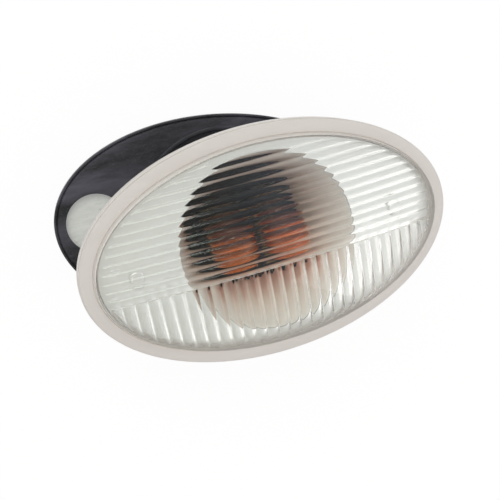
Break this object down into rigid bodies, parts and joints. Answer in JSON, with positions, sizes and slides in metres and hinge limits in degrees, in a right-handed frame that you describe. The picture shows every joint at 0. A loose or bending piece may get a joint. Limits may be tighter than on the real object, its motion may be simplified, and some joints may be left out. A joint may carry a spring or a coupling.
{
  "type": "marker lamp",
  "caption": "Oval clear marker lamp with a fluted lens, silvered bowl, amber bulbs in a bayonet holder, and its loose rubber mounting gasket.",
  "frame": {"origin": "on the lamp's own axis, at the flat back of the bulb holder that the lamp rests on", "axes": "+Z out of the lens, +X along the lamp's long axis towards its right end seen from the front, +Y towards the lengthwise flutes"},
  "size_m": [0.1525, 0.0946, 0.0633],
  "materials": {
    "clear_lens": "clear moulded acrylic, fluted inside, frosted rim",
    "sealant": "cured bead, satin",
    "silvered": "metallised plastic",
    "black_plastic": "fine moulded texture",
    "holder_plastic": "satin moulded",
    "brass": "bright turned and pressed",
    "seal_rubber": "matte",
    "gasket_rubber": "moulded, faint bloom and streaks",
    "amber_glass": "amber coated glass",
    "bulb_metal": "nickelled pressed cap",
    "filament_wire": "drawn wire",
    "insulator_glass": "black vitrite, glossy"
  },
  "bodies": {
    "root": {"lens": "clear_lens", "lens_sealant": "sealant", "reflector": "silvered", "housing": "black_plastic", "threaded_insert_left": "brass", "threaded_insert_right": "brass", "bulb_holder": "holder_plastic", "holder_seal": "seal_rubber", "socket_shell_left": "brass", "socket_shell_right": "brass", "feed_terminal_left": "brass", "feed_terminal_right": "brass", "earth_terminal": "brass", "bulb_glass_left": "amber_glass", "bulb_glass_right": "amber_glass", "bulb_cap_left": "bulb_metal", "bulb_cap_right": "bulb_metal", "bulb_insulator_left": "insulator_glass", "bulb_insulator_right": "insulator_glass", "bulb_filament_left": "filament_wire", "bulb_filament_right": "filament_wire", "mounting_gasket": "gasket_rubber"}
  },
  "joints": []
}
